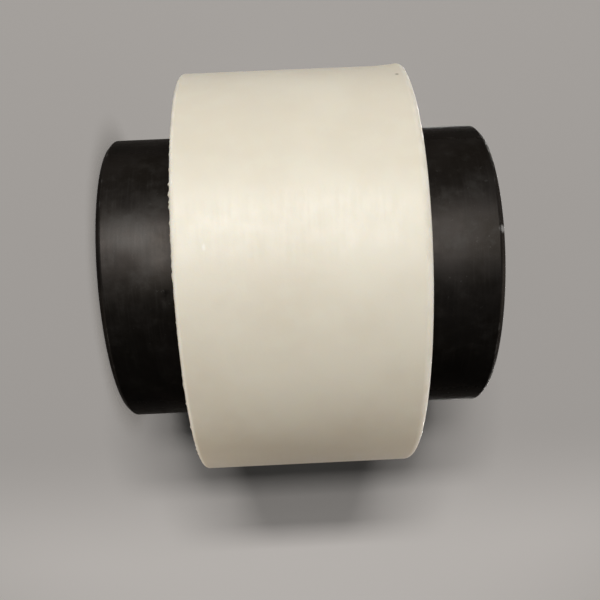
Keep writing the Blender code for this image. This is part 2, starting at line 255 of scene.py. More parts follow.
class CouplingScrews(bpy.types.PropertyGroup):
    """The set screw over each keyway."""

    radius: length("Radius", "Radius over the thread", 4 * MM)
    inset: length("Inset", "Screw from the hub's outer end", 9 * MM)
    sink: length("Sink", "Screw head below the boss", 0.6 * MM)
    socket: length("Socket", "Hexagon across flats", 4 * MM)
    socket_depth: length("Socket depth", "Depth of the hexagon", 4 * MM)
    pitch: length("Pitch", "Pitch of the thread", 1.25 * MM)
    thread_depth: length("Thread depth", "Depth of the thread", 0.6 * MM)
    tip_depth: length("Cup", "Depth of the cup point", 0.8 * MM)
    hole: length("Hole", "Radius of the hole in the hub", 4.2 * MM)
    countersink: length("Countersink", "Depth of the countersink of that hole", 0.8 * MM)
    colour: colour("Screw steel", "Black oxide on the screws", (0.052, 0.05, 0.052))


class CouplingRings(bpy.types.PropertyGroup):
    """The round wire rings inside the sleeve's ends."""

    radius: length("Radius", "Radius of the wire's centre line", 38.75 * MM)
    wire: length("Wire", "Radius of the wire", 1.25 * MM)
    opening: length("Opening", "Gap between the wire's ends", 9 * MM)
    end: length("End", "Length of the rounding at each end", 0.5 * MM)
    colour: colour("Wire", "Drawn spring wire", (0.24, 0.228, 0.215))


class CouplingStudio(bpy.types.PropertyGroup):
    """Backdrop, ambient light and lamps."""

    backdrop: colour("Backdrop", "Colour behind and under the part", (0.365, 0.345, 0.326))
    ambient: colour("Ambient", "Light from all round", (0.198, 0.171, 0.144))
    key: power("Key", "Key lamp, on the -X side of the camera", 1.15)
    front: power("Front", "Lamp beside the camera", 0.95)
    rear: power("Rear", "Lamp behind the part", 2.6)
    top: power("Top", "Lamp above, which also lights the floor", 1.1)
    top_level: level("Top level", "Light of the top lamp on the floor", 0.275)
    low: power("Wall low", "Wall lamp whose shadow lies near the part", 23.0)
    high: power("Wall high", "Wall lamp whose shadow reaches farther", 41.0)
    wall_level: level("Wall level", "Light of both wall lamps on the wall", 2.5)
    bounce_a: power("Bounce A", "Small lamp for the sleeve at hub_a", 0.0075)
    bounce_b: power("Bounce B", "Small lamp for the sleeve at hub_b", 0.0055)


def polar_points(radius, angle, height):
    """Points (r cos a, r sin a, z) for arrays of radius r, angle a and height z."""
    radius, angle, height = np.broadcast_arrays(radius, angle, height)
    return np.stack([radius * np.cos(angle), radius * np.sin(angle), height], axis=-1)


def new_object(name, data):
    """A new object in the scene."""
    thing = bpy.data.objects.new(name, data)
    bpy.context.scene.collection.objects.link(thing)
    return thing


def surface_object(name, points, edge=0.0, ends="joined"):
    """A closed mesh through a grid of points, rows by columns, whose columns run round.

    The last row joins the first where ends is "joined". Where it is "poles", the first and the
    last row each close on the point in the middle of their own ring. The faces are turned
    outwards if the grid's signed volume, the sum of p . (q x s) over its quads, is negative.
    """
    rows, columns = points.shape[:2]
    index = np.arange(rows * columns).reshape(rows, columns)
    after = np.roll(index, -1, axis=0)
    if ends == "poles":
        index, after = index[:-1], after[:-1]
    quads = np.stack([index, np.roll(index, -1, 1), np.roll(after, -1, 1), after], axis=-1)
    quads = quads.reshape(-1, 4)
    vertices = points.reshape(-1, 3)
    corner = vertices[quads]
    across = np.cross(corner[:, 1], corner[:, 2]) + np.cross(corner[:, 2], corner[:, 3])
    volume = (corner[:, 0] * across).sum()
    faces = quads.tolist()
    edge = np.broadcast_to(edge, (rows, columns)).ravel()
    if ends == "poles":
        first, last = points[0].mean(axis=0), points[-1].mean(axis=0)
        ring = np.arange(columns)
        ahead = np.roll(ring, -1)
        base = rows * columns
        low = np.stack([ahead, ring, np.full(columns, base)], axis=-1)
        high = np.stack([ring, ahead, np.full(columns, columns + 1)], axis=-1) + base - columns
        faces += low.tolist() + high.tolist()
        vertices = np.vstack([vertices, first, last])
        edge = np.append(edge, [0.0, 0.0])
    if volume < 0:
        faces = [face[::-1] for face in faces]
    mesh = bpy.data.meshes.new(name)
    mesh.from_pydata(vertices, [], faces)
    layer = mesh.attributes.new(EDGE_LAYER, "FLOAT", "POINT")
    layer.data.foreach_set("value", edge.astype(np.float32))
    return new_object(name, mesh)


def smooth(mesh):
    """Merge points that coincide, then shade the mesh smooth except over sharp edges."""
    bm = bmesh.new()
    bm.from_mesh(mesh)
    bmesh.ops.remove_doubles(bm, verts=bm.verts, dist=MERGE_DISTANCE)
    bmesh.ops.dissolve_degenerate(bm, edges=bm.edges, dist=MERGE_DISTANCE)
    bm.to_mesh(mesh)
    bm.free()
    mesh.shade_smooth()
    mesh.set_sharp_from_angle(angle=SHARP_ANGLE)


def eased_outline(corners, longest):
    """A closed outline with rounded corners, as rows of radius, height and edge weight.

    corners holds rows of r, z, easing e and steps. A corner C becomes the arc
    ((1-t)^2 P + 2 w t (1-t) C + t^2 Q) / ((1-t)^2 + 2 w t (1-t) + t^2), where P and Q lie e
    before and after C and w is the cosine of half the turn. A further point on each side, at
    1.6 e, keeps the shading of the flats flat. Runs longer than longest are divided evenly.
    The weight is sin(pi t) on corners that stand out and 0 elsewhere.
    """
    corners = np.array(corners, float)
    place, ease, steps = corners[:, :2], corners[:, 2], corners[:, 3].astype(int)
    to_last = np.roll(place, 1, axis=0) - place
    to_next = np.roll(place, -1, axis=0) - place
    to_last /= np.linalg.norm(to_last, axis=1)[:, None]
    to_next /= np.linalg.norm(to_next, axis=1)[:, None]
    turn = to_next[:, 0] * to_last[:, 1] - to_next[:, 1] * to_last[:, 0]
    weight = np.sqrt((1 - np.einsum("ij,ij->i", to_last, to_next)) / 2)

    counts = steps + 3
    which = np.repeat(np.arange(len(corners)), counts)
    step = np.arange(counts.sum()) - np.repeat(np.cumsum(counts) - counts, counts) - 1
    outside = (step < 0) | (step > steps[which])
    t = np.clip(step / steps[which], 0.0, 1.0)[:, None]
    reach = (ease[which] * np.where(outside, 1.6, 1.0))[:, None]
    middle, w = place[which], weight[which][:, None]
    before, after = middle + reach * to_last[which], middle + reach * to_next[which]
    bend = 2 * w * t * (1 - t)
    arc = ((1 - t) ** 2 * before + bend * middle + t**2 * after) / ((1 - t) ** 2 + bend + t**2)
    stands_out = np.where(turn[which] > 0, np.sin(np.pi * t[:, 0]), 0.0)
    rows = np.column_stack([arc, stands_out])

    following = np.roll(rows, -1, axis=0)
    run = np.linalg.norm(following[:, :2] - rows[:, :2], axis=1)
    parts = np.maximum(1, np.ceil(run / longest)).astype(int)
    start = np.repeat(np.arange(len(rows)), parts)
    along = np.arange(parts.sum()) - np.repeat(np.cumsum(parts) - parts, parts)
    share = (along / parts[start])[:, None]
    return rows[start] * (1 - share) + following[start] * share


def involute(angle):
    """The involute function tan a - a."""
    return np.tan(angle) - angle


def tooth_half_angle(radius, teeth):
    """Half the angle that a hub tooth covers at a radius.

    Half its thickness on the pitch circle over that circle's radius, plus the involute function
    of the pressure angle, minus the same function of the angle whose cosine is the base circle's
    radius over the given one.
    """
    pitch_radius = teeth.module * teeth.count / 2
    half_thickness = (math.pi * teeth.module / 2 - teeth.flank_clearance) / 2
    base_radius = pitch_radius * math.cos(teeth.pressure_angle)
    local = np.arccos(np.minimum(1.0, base_radius / radius))
    return half_thickness / pitch_radius + involute(teeth.pressure_angle) - involute(local)


def toothed_outline(teeth, low, high, half_angle):
    """Angles and radii of a gear outline whose raised parts cover half_angle(r) to each side.

    A half tooth runs from the middle of its top over an eased corner, down the flank, where the
    angle is half_angle of the radius, and over an eased corner to the middle of the space. Its
    mirror image follows, and the pair repeats once for each tooth.
    """
    ease = teeth.corner
    near = 0.3 * ease
    flank = np.linspace(high - ease, low + ease, FLANK_POINTS)
    top, foot = half_angle(high), half_angle(low)
    radii = np.concatenate([[high, high, high - near], flank, [low + near, low, low]])
    tops = [0.0, top - ease / high, top - near / high]
    feet = [foot + near / low, foot + ease / low, math.pi / teeth.count]
    angles = np.concatenate([tops, half_angle(flank), feet])
    angles = np.append(angles, math.tau / teeth.count - angles[-2:0:-1])
    radii = np.append(radii, radii[-2:0:-1])
    turns = np.arange(teeth.count) * math.tau / teeth.count
    return np.add.outer(turns, angles).ravel(), np.tile(radii, teeth.count)


def crown_drop(offset, teeth):
    """How far a crowned tooth falls at an offset from its middle: R - sqrt(R^2 - offset^2)."""
    return teeth.crown_radius - np.sqrt(teeth.crown_radius**2 - offset**2)


def humps(angle, places, widths, heights):
    """The sum of bell curves h exp(-((a - place) / width)^2) round a circle."""
    gap = (angle[..., None] - places + math.pi) % math.tau - math.pi
    return (heights * np.exp(-((gap / widths) ** 2))).sum(axis=-1)


def sleeve_surface(sleeve, teeth, direction):
    """The sleeve as radius and height over rows of its outline and columns round its teeth.

    One of its teeth points in the direction. The radius is the outline's, but never less than
    the gear outline of the toothed bore. Low bell curves add the swelling on the soft edge, and
    narrow ones the flecks on the crisp edge.
    """
    low, high = SLEEVE_BOX[0].z, SLEEVE_BOX[1].z
    middle, half = (low + high) / 2, (high - low) / 2
    pitch_radius = teeth.module * teeth.count / 2
    tip = pitch_radius - teeth.dedendum + teeth.tip_clearance
    root = pitch_radius + teeth.addendum + teeth.tip_clearance
    groove = root + sleeve.groove_depth
    mouth = tip + sleeve.lead_in
    fine, groove_lip, groove_floor = 0.12 * MM, 0.15 * MM, 0.3 * MM
    corners = [
        (sleeve.radius, -half, sleeve.edge_a, 5),
        (sleeve.radius, half, sleeve.edge_b, 9),
        (mouth, half, fine, 1),
        (tip, half - sleeve.lead_in, fine, 1),
    ]
    for side in (1, -1):
        outer_wall = side * sleeve.groove_offset + sleeve.groove_width / 2
        inner_wall = side * sleeve.groove_offset - sleeve.groove_width / 2
        corners += [
            (tip, outer_wall, groove_lip, 1),
            (groove, outer_wall, groove_floor, 2),
            (groove, inner_wall, groove_floor, 2),
            (tip, inner_wall, groove_lip, 1),
        ]
    corners += [(tip, sleeve.lead_in - half, fine, 1), (mouth, -half, fine, 1)]
    outline = eased_outline(corners, SLEEVE_RUN)
    radius, height, edge = (column[:, None] for column in outline.T)

    def space_half_angle(at_radius):
        return tooth_half_angle(at_radius, teeth) + teeth.flank_clearance / at_radius

    tooth_angle, void = toothed_outline(teeth, tip, root, space_half_angle)
    even_angle = np.linspace(0.0, math.tau, len(tooth_angle), endpoint=False)
    outward = np.clip((radius - root) / (sleeve.radius - sleeve.edge_b - root), 0.0, 1.0)
    angle = tooth_angle * (1 - outward) + even_angle * outward
    angle = angle + direction + math.pi / teeth.count

    near_soft_edge = np.exp(-(((height - half) / SWELLING_REACH) ** 4)) * (outward == 1.0)
    swelling = humps(angle, LUMP_PLACE, LUMP_WIDTH, sleeve.lump)
    bulge = humps(angle, BULGE_PLACE, BULGE_WIDTH, sleeve.bulge)
    radius = np.maximum(radius + swelling * near_soft_edge, void)
    height = height + bulge * near_soft_edge

    chance = np.random.default_rng(FLECK_SEED)
    places = chance.uniform(-math.pi, math.pi, FLECKS)
    places = np.append(places, np.radians(PLACED_FLECKS[0]))
    widths = np.append(chance.uniform(*FLECK_WIDTHS, FLECKS), PLACED_FLECKS[1])
    heights = np.append(chance.uniform(*FLECK_HEIGHTS, FLECKS) ** 2, PLACED_FLECKS[2])
    crisp = np.exp(-(((radius - sleeve.radius + sleeve.edge_a) / FLECK_BAND) ** 2))
    crisp = crisp * (height < FLECK_DEPTH - half)
    height = height - humps(angle, places, widths, heights * sleeve.burr) * crisp
    return polar_points(radius, angle, height + middle), edge


def keyway_angles(hubs):
    """How far the corners of the keyway's top and its sides at the bore lie from its middle."""
    half = hubs.keyway_width / 2
    return math.atan2(half, hubs.bore + hubs.keyway_depth), math.asin(half / hubs.bore)


def keyway_radius(angle, hubs):
    """Radius of the keyway's outline about its own direction, and 0 outside the keyway.

    Its top lies at height / cos a and its sides at half width / sin a.
    """
    corner, side = keyway_angles(hubs)
    swing = np.abs((angle + math.pi) % math.tau - math.pi)
    top = (hubs.bore + hubs.keyway_depth) / np.cos(np.minimum(swing, corner))
    flank = hubs.keyway_width / 2 / np.sin(np.maximum(swing, corner / 2))
    return np.where(swing <= side, np.where(swing <= corner, top, flank), 0.0)


def hub_surface(hubs, teeth):
    """A hub as radius over rows of its outline and columns round its teeth, keyway towards +X.

    The radius is the outline's, but never more than the gear outline less the crown's drop, and
    never less than the keyway's outline.
    """
    hub_length = HUB_BOX[1].z - HUB_BOX[0].z
    pitch_radius = teeth.module * teeth.count / 2
    tip, root = pitch_radius + teeth.addendum, pitch_radius - teeth.dedendum
    rim_side = hub_length - teeth.face
    crown_half = teeth.face / 2 - hubs.rim_chamfer
    end_drop = crown_drop(crown_half, teeth)
    rim_edge = tip - end_drop - hubs.rim_chamfer
    fine = 0.1 * MM
    corners = [
        (hubs.radius - hubs.chamfer, 0.0, 0.14 * MM, 2),
        (hubs.radius, hubs.chamfer, 0.22 * MM, 2),
        (hubs.radius, rim_side, hubs.rim_fillet, 4),
        (rim_edge, rim_side, fine, 1),
        (tip - end_drop, rim_side + hubs.rim_chamfer, fine, 1),
        (tip - end_drop, hub_length - hubs.rim_chamfer, fine, 1),
        (rim_edge, hub_length, fine, 1),
        (hubs.bore + hubs.bore_chamfer, hub_length, fine, 1),
        (hubs.bore, hub_length - hubs.bore_chamfer, fine, 1),
        (hubs.bore, hubs.bore_chamfer, fine, 1),
        (hubs.bore + hubs.bore_chamfer, 0.0, fine, 1),
    ]
    radius, height, edge = (column[:, None] for column in eased_outline(corners, HUB_RUN).T)
    offset = np.clip(height - rim_side - teeth.face / 2, -teeth.face / 2, teeth.face / 2)
    on_teeth = (radius > root) & (np.abs(offset) <= crown_half)
    radius = radius + np.where(on_teeth, end_drop - crown_drop(offset, teeth), 0.0)

    tooth_angle, gear = toothed_outline(teeth, root, tip, lambda r: tooth_half_angle(r, teeth))
    tooth_angle = tooth_angle + math.pi / teeth.count
    swing = (tooth_angle + math.pi) % math.tau - math.pi
    corner, side = keyway_angles(hubs)
    key_corners = np.array([-side, -corner, corner, side])
    nearest = swing[np.abs(swing[:, None] - key_corners).argmin(axis=0)]
    anchored = np.interp(swing, [-math.pi, *nearest, math.pi], [-math.pi, *key_corners, math.pi])
    snapped = tooth_angle + anchored - swing
    angle = np.where(radius < hubs.bore + 1.5 * hubs.bore_chamfer, snapped, tooth_angle)
    shape = np.minimum(radius, gear - crown_drop(offset, teeth))
    shape = np.maximum(shape, keyway_radius(angle, hubs))
    return polar_points(shape, angle, height), edge


def screw_hole(hubs, screws):
    """The set screw's hole with a countersunk mouth, along +Z from the hub's axis."""
    deep, high = hubs.bore + hubs.keyway_depth / 2, hubs.radius + screws.countersink
    profile = [
        (screws.hole / 2, deep),
        (screws.hole, deep),
        (screws.hole, hubs.radius - screws.countersink),
        (screws.hole + 2 * screws.countersink, high),
        (screws.hole / 2, high),
    ]
    radius, height = (column[:, None] for column in np.array(profile).T)
    angle = np.linspace(0.0, math.tau, HOLE_COLUMNS, endpoint=False)
    return surface_object("screw_hole", polar_points(radius, angle, height), ends="poles")


def screw_surface(hubs, screws):
    """A set screw along +Z, whose height is the distance from the hub's axis.

    Outside, the radius falls below the crest by the thread's depth times a triangle wave of
    height over pitch less the angle's share of a turn. Inside, the hexagon's radius is half its
    width across flats over the cosine of the angle to the nearest flat.
    """
    top = hubs.radius - screws.sink
    tip = hubs.bore + hubs.keyway_depth
    nose, crown = 0.55 * screws.radius, screws.radius - 0.35 * MM
    angle = np.linspace(0.0, math.tau, SCREW_COLUMNS, endpoint=False)
    shank = np.linspace(tip, top, SCREW_ROWS)[:, None]
    turn = (shank / screws.pitch - angle / math.tau) % 1.0
    groove = np.clip(1.25 - 2.8 * np.abs(turn - 0.5), 0.0, 1.0)
    bevel = np.minimum(screws.radius, nose + (shank - tip))
    bevel = np.minimum(bevel, crown + (top - shank))
    outside = np.minimum(screws.radius - screws.thread_depth * groove, bevel)

    half = screws.socket / 2
    flat = half / np.cos((angle % (math.pi / 3)) - math.pi / 6)
    rim, lead, fine = 0.25 * MM, 0.3 * MM, 0.1 * MM
    mouth = 1.22 * half
    floor = top - screws.socket_depth
    rows = [(0.2 * MM, tip + screws.tip_depth), (0.5 * screws.radius, tip)]
    inside = [
        (mouth + rim, top),
        (mouth, top),
        (np.minimum(mouth, flat + 0.2 * fine), top - lead),
        (flat, top - lead - fine),
        (flat, (top + floor) / 2),
        (flat, floor),
        (0.85 * half, floor),
        (0.1 * half, floor - 0.7 * half),
    ]
    first, last = ([row[0] + 0 * angle for row in part] for part in (rows, inside))
    radius = np.vstack([*first, outside, *last])
    heights = [row[1] for row in rows] + list(shank[:, 0]) + [row[1] for row in inside]
    return polar_points(radius, angle, np.array(heights)[:, None])


def ring_surface(rings):
    """A wire ring: a circle of radius w(s) carried along an arc of the ring's radius.

    w is the wire's radius, and over the last stretch e at each end it is the wire's radius
    times sqrt(1 - (1 - s / e)^2), where s is the distance from the end. The ends are rounded.
    """
    half_opening = rings.opening / (2 * rings.radius)
    dome = rings.end / rings.radius
    easing = 1 - np.cos(np.linspace(0.0, math.pi / 2, RING_END_ROWS))[1:]
    start = half_opening + dome * easing
    path = np.linspace(half_opening + dome, math.tau - half_opening - dome, RING_ROWS)[1:-1]
    path = np.concatenate([start, path, math.tau - start[::-1]])
    from_end = np.minimum(path - half_opening, math.tau - half_opening - path) / dome
    wire = rings.wire * np.sqrt(1 - (1 - np.clip(from_end, 0.0, 1.0)) ** 2)
    round_wire = np.linspace(0.0, math.tau, RING_COLUMNS, endpoint=False)
    radius = rings.radius + wire[:, None] * np.cos(round_wire)
    height = wire[:, None] * np.sin(round_wire)
    return polar_points(radius, path[:, None], height)


class Nodes:
    """A node tree whose nodes are added and joined by short calls."""

    def __init__(self, tree):
        self.tree = tree

    def feed(self, socket, value):
        """Join a node's output to a socket, or set it to a plain value or an opaque colour."""
        if isinstance(value, bpy.types.NodeSocket):
            self.tree.links.new(value, socket)
        elif socket.type == "RGBA":
            socket.default_value = (*value, 1.0)
        else:
            socket.default_value = value

    def add(self, kind, inputs, output=0, **settings):
        """A new node with its settings and inputs; the result is one of its outputs."""
        node = self.tree.nodes.new("ShaderNode" + kind)
        for name, value in settings.items():
            setattr(node, name, value)
        for key, value in inputs.items():
            self.feed(node.inputs[key], value)
        return node.outputs[output]

    def math(self, operation, first, second=0.0):
        """A math node."""
        return self.add("Math", {0: first, 1: second}, operation=operation)


class Finish(Nodes):
    """A material with its shader and the patterns that the finishes share."""

    def __init__(self, name):
        self.material = bpy.data.materials.new(name)
        self.material.use_nodes = True
        super().__init__(self.material.node_tree)
        self.shader = self.tree.nodes["Principled BSDF"]

    def shade(self, **inputs):
        """Feed the shader's sockets, whose names are written with underscores."""
        for name, value in inputs.items():
            self.feed(self.shader.inputs[name.replace("_", " ")], value)

    def matt(self, colour):
        """Make the shader matt in a colour."""
        self.shade(Base_Color=colour, Roughness=1.0, Specular_IOR_Level=0.0)

    def clear(self, share):
        """Let a share of the light straight through."""
        through = self.add("BsdfTransparent", {})
        surface = self.tree.nodes["Material Output"].inputs["Surface"]
        mix = self.add("MixShader", {0: share, 1: self.shader.outputs[0], 2: through})
        self.tree.links.new(mix, surface)

    def vector(self, operation, first, second=(0.0, 0.0, 0.0), output="Vector"):
        """A vector math node."""
        return self.add("VectorMath", {0: first, 1: second}, output, operation=operation)

    def place(self):
        """Object coordinates."""
        return self.add("TexCoord", {}, "Object")

    def flat(self):
        """Object coordinates without their height."""
        return self.vector("MULTIPLY", self.place(), (1.0, 1.0, 0.0))

    def off_axis(self):
        """Distance from the coupling's axis."""
        return self.vector("LENGTH", self.flat(), output="Value")

    def lathe_marks(self, round_scale, feed_scale):
        """Noise drawn out round the axis: it changes along the sum of height and radius."""
        heading = self.vector("SCALE", self.vector("NORMALIZE", self.flat()))
        self.feed(heading.node.inputs["Scale"], round_scale)
        height = self.add("SeparateXYZ", {0: self.place()}, "Z")
        travel = self.math("MULTIPLY", self.math("ADD", height, self.off_axis()), feed_scale)
        rise = self.add("CombineXYZ", {"Z": travel})
        return self.noise(self.vector("ADD", heading, rise), 1.0, 3.0)

    def noise(self, vector, scale, detail, rough=0.55):
        """Noise whose features are about 1 / scale metres across."""
        inputs = {"Vector": vector, "Scale": scale, "Detail": detail, "Roughness": rough}
        return self.add("TexNoise", inputs, "Fac")

    def between(self, value, low, high, start=0.0, end=1.0):
        """Map value from low..high to start..end, smoothly and clamped."""
        inputs = {"Value": value, 1: low, 2: high, 3: start, 4: end}
        return self.add("MapRange", inputs, interpolation_type="SMOOTHSTEP")

    def mix(self, share, first, second):
        """Mix two colours by a share."""
        return self.add("Mix", {0: share, 6: first, 7: second}, 2, data_type="RGBA")

    def edge(self):
        """Weight of the corners that stand out, from the mesh."""
        return self.add("Attribute", {}, "Fac", attribute_name=EDGE_LAYER)

    def spot(self, mark):
        """1 at a mark's centre, falling to 0 at its reach over its squeeze from there."""
        reach = mark.reach * MM
        centre = [shift * MM for shift in mark.centre]
        apart = self.vector("SUBTRACT", self.place(), centre)
        apart = self.vector("MULTIPLY", apart, mark.squeeze)
        away = self.vector("LENGTH", apart, output="Value")
        return self.between(away, 0.35 * reach, reach, 1.0, 0.0)

    def relief(self, height, depth, normal=None):
        """A bump whose full height is depth in metres."""
        inputs = {"Height": height, "Distance": depth, "Strength": 1.0}
        if normal is not None:
            inputs["Normal"] = normal
        return self.add("Bump", inputs)


def nylon_finish(sleeve):
    """Satin ivory nylon: soft clouds, fine grain, rubbed edges with a painted highlight, painted
    shade in a pit, dull grease on the teeth.
    """
    finish = Finish("ivory_nylon")
    place = finish.place()
    cloud = finish.between(finish.noise(place, 42.0, 3.0), 0.36, 0.66)
    mottle = finish.noise(place, 260.0, 5.0)
    grain = finish.noise(place, 2300.0, 3.0)
    marks = finish.lathe_marks(5.0, 1500.0)
    tone = finish.mix(cloud, sleeve.colour, sleeve.shade)
    tone = finish.mix(finish.between(mottle, 0.45, 0.75, 0.0, 0.35), tone, NYLON_PALE)
    tone = finish.mix(finish.between(grain, 0.55, 0.8, 0.0, 0.12), tone, NYLON_GRAIN)

    # The corners that stand out turn paler: partly rubbed wear, partly a painted highlight along
    # the edges.
    rubbed = finish.math("MULTIPLY", finish.edge(), finish.between(mottle, 0.35, 0.6, 0.3, 0.8))
    tone = finish.mix(rubbed, tone, NYLON_RUBBED_AND_HIGHLIGHT)
    inside = finish.between(finish.off_axis(), 40.2 * MM, 41.5 * MM, 1.0, 0.0)
    grease = finish.math("MULTIPLY", inside, finish.between(mottle, 0.35, 0.7, 0.15, 0.6))
    tone = finish.mix(grease, tone, GREASE)
    # Painted shade: the dent of the pit is also painted dark.
    pit = finish.spot(PIT)
    tone = finish.mix(pit, tone, NYLON_PIT_SHADE)
    nick = finish.math("MULTIPLY", finish.spot(SLEEVE_NICK), 0.45)
    tone = finish.mix(nick, tone, NYLON_NICK)

    gloss = finish.between(mottle, 0.3, 0.7, 0.4, 0.5)
    gloss = finish.math("ADD", gloss, finish.between(marks, 0.4, 0.7, -0.03, 0.04))
    wave = finish.relief(finish.noise(place, 95.0, 2.0), 0.05 * MM)
    turned = finish.relief(marks, 0.003 * MM, wave)
    dents = finish.math("SUBTRACT", grain, finish.math("MULTIPLY", pit, 12.0))
    finish.shade(
        Base_Color=tone,
        Roughness=gloss,
        Normal=finish.relief(dents, 0.01 * MM, turned),
        Subsurface_Weight=0.22,
        Subsurface_Radius=(1.0, 0.72, 0.42),
        Subsurface_Scale=2.2 * MM,
        IOR=1.5,
    )
    return finish.material


def oxide_finish(hubs):
    """Black oxide on turned steel: brown stains, lathe marks, hand marks, rubbed edges and a
    painted highlight in two patches.
    """
    finish = Finish("black_oxide_steel")
    place = finish.place()
    cloud = finish.between(finish.noise(place, 70.0, 5.0, 0.6), 0.38, 0.64)
    smear = finish.noise(place, 190.0, 6.0, 0.65)
    grain = finish.noise(place, 2600.0, 3.0)
    marks = finish.lathe_marks(4.0, 2200.0)
    tone = finish.mix(cloud, hubs.colour, hubs.stain)
    tone = finish.mix(finish.between(smear, 0.5, 0.72, 0.0, 0.6), tone, OXIDE_PALE)
    tone = finish.mix(finish.between(marks, 0.5, 0.75, 0.0, 0.35), tone, OXIDE_MARKS)

    speck = finish.noise(place, 1100.0, 2.0)
    tone = finish.mix(finish.between(speck, 0.7, 0.76, 0.0, 0.4), tone, OXIDE_SPECK)
    # Painted highlight: paler steel in two patches where the highlight falls on hub_a, broken up
    # by the smear.
    below = finish.math("MULTIPLY", finish.spot(PAINTED_HIGHLIGHT_LOWER_SPOT), 0.35)
    painted_highlight_mask = finish.math("MAXIMUM", finish.spot(PAINTED_HIGHLIGHT_SPOT), below)
    painted_highlight_mask = finish.math("MULTIPLY", painted_highlight_mask, finish.between(smear, 0.35, 0.6, 0.1, 0.6))
    tone = finish.mix(painted_highlight_mask, tone, OXIDE_PAINTED_HIGHLIGHT)
    dull = finish.spot(DULL_PATCH)
    dull = finish.math("MULTIPLY", dull, finish.between(smear, 0.35, 0.65, 0.85, 0.35))
    tone = finish.mix(dull, tone, OXIDE_DULL)
    smudge = finish.spot(SMUDGE)
    smudge = finish.math("MULTIPLY", smudge, finish.between(smear, 0.4, 0.55, 0.9, 0.3))
    tone = finish.mix(smudge, tone, OXIDE_SMUDGE)
    worn = finish.math("MULTIPLY", finish.edge(), finish.between(smear, 0.52, 0.66, 0.06, 0.75))
    worn = finish.math("MAXIMUM", worn, finish.spot(HUB_NICK))
    tone = finish.mix(worn, tone, hubs.bare)

    gloss = finish.between(smear, 0.3, 0.7, 0.38, 0.5)
    gloss = finish.math("ADD", gloss, finish.between(marks, 0.35, 0.75, -0.02, 0.03))
    turned = finish.relief(marks, 0.0012 * MM)
    finish.shade(
        Base_Color=tone,
        Roughness=gloss,
        Metallic=0.9,
        Specular_Tint=finish.mix(worn, OXIDE_GRAZING, BARE_GRAZING),
        Normal=finish.relief(grain, 0.006 * MM, turned),
    )
    return finish.material


def wire_finish(rings):
    """Drawn spring wire: streaks that run along the wire, with dull spots of old oil."""
    finish = Finish("spring_wire")
    place = finish.place()
    height = finish.add("SeparateXYZ", {0: place}, "Z")
    across = finish.add("CombineXYZ", {"X": finish.off_axis(), "Y": height})
    streak = finish.noise(across, 9000.0, 2.0)
    blotch = finish.noise(place, 420.0, 4.0)
    tone = finish.mix(finish.between(streak, 0.4, 0.7), rings.colour, WIRE_STREAK)
    tone = finish.mix(finish.between(blotch, 0.5, 0.75, 0.0, 0.6), tone, WIRE_OIL)
    finish.shade(
        Base_Color=tone,
        Roughness=finish.between(blotch, 0.3, 0.7, 0.28, 0.46),
        Metallic=1.0,
        Normal=finish.relief(streak, 0.004 * MM),
    )
    return finish.material


def screw_finish(screws):
    """Black oxide on the set screws, with darker blotches and a fine pale grain."""
    finish = Finish("screw_steel")
    place = finish.place()
    blotch = finish.noise(place, 600.0, 4.0)
    grain = finish.noise(place, 3200.0, 2.0)
    tone = finish.mix(finish.between(blotch, 0.4, 0.65), screws.colour, SCREW_DARK)
    tone = finish.mix(finish.between(grain, 0.6, 0.8, 0.0, 0.5), tone, SCREW_GRAIN)
    finish.shade(
        Base_Color=tone,
        Roughness=finish.between(blotch, 0.3, 0.7, 0.3, 0.44),
        Metallic=0.9,
        Normal=finish.relief(grain, 0.006 * MM),
    )
    return finish.material


def settle(piece, finish, body, slot, *nodes):
    """Smooth a piece, give it its finish and its body, and hide the nodes that it stands for. The
    slot is not used.
    """
    smooth(piece.data)
    piece.data.materials.append(finish)
    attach(piece, body)
    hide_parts(*nodes)


class SleeveOperator(bpy.types.Operator):
    """Make the nylon sleeve."""

    bl_idname = "coupling.sleeve"
    bl_label = "Sleeve"

    def execute(self, context):
        sleeve, teeth = context.scene.coupling_sleeve, context.scene.coupling_teeth
        direction = context.scene.coupling_hubs.keyway_direction
        points, edge = sleeve_surface(sleeve, teeth, direction)
        piece = surface_object("nylon_sleeve", points, edge)
        settle(piece, nylon_finish(sleeve), "sleeve", "ivory_nylon", "sleeve")
        return {"FINISHED"}


class HubsOperator(bpy.types.Operator):
    """Make both hubs, with their teeth, keyways and screw holes."""

    bl_idname = "coupling.hubs"
    bl_label = "Hubs"

    def execute(self, context):
        scene = context.scene
        hubs, teeth, screws = scene.coupling_hubs, scene.coupling_teeth, scene.coupling_screws
        points, edge = hub_surface(hubs, teeth)
        first = surface_object("steel_hub_a", points, edge)
        smooth(first.data)
        hole = screw_hole(hubs, screws)
        across = Matrix.Rotation(math.pi / 2, 4, "Y")
        hole.data.transform(Matrix.Translation((0.0, 0.0, screws.inset)) @ across)
        drill = first.modifiers.new("drill", "BOOLEAN")
        drill.operation = "DIFFERENCE"
        drill.solver = "EXACT"
        drill.object = hole
        context.view_layer.update()
        drilled = first.evaluated_get(context.evaluated_depsgraph_get())
        first.data = bpy.data.meshes.new_from_object(drilled)
        first.modifiers.clear()
        bpy.data.objects.remove(hole)

        second = new_object("steel_hub_b", first.data.copy())
        clocking = Matrix.Rotation(hubs.keyway_direction, 4, "Z")
        first.data.transform(clocking)
        raised = Matrix.Translation((0.0, 0.0, TOTAL_LENGTH)) @ clocking
        second.data.transform(raised @ Matrix.Rotation(math.pi, 4, "X"))
        finish = oxide_finish(hubs)
        for piece, body in ((first, "hub_a"), (second, "hub_b")):
            settle(piece, finish, body, "black_oxide_steel", body)
        return {"FINISHED"}


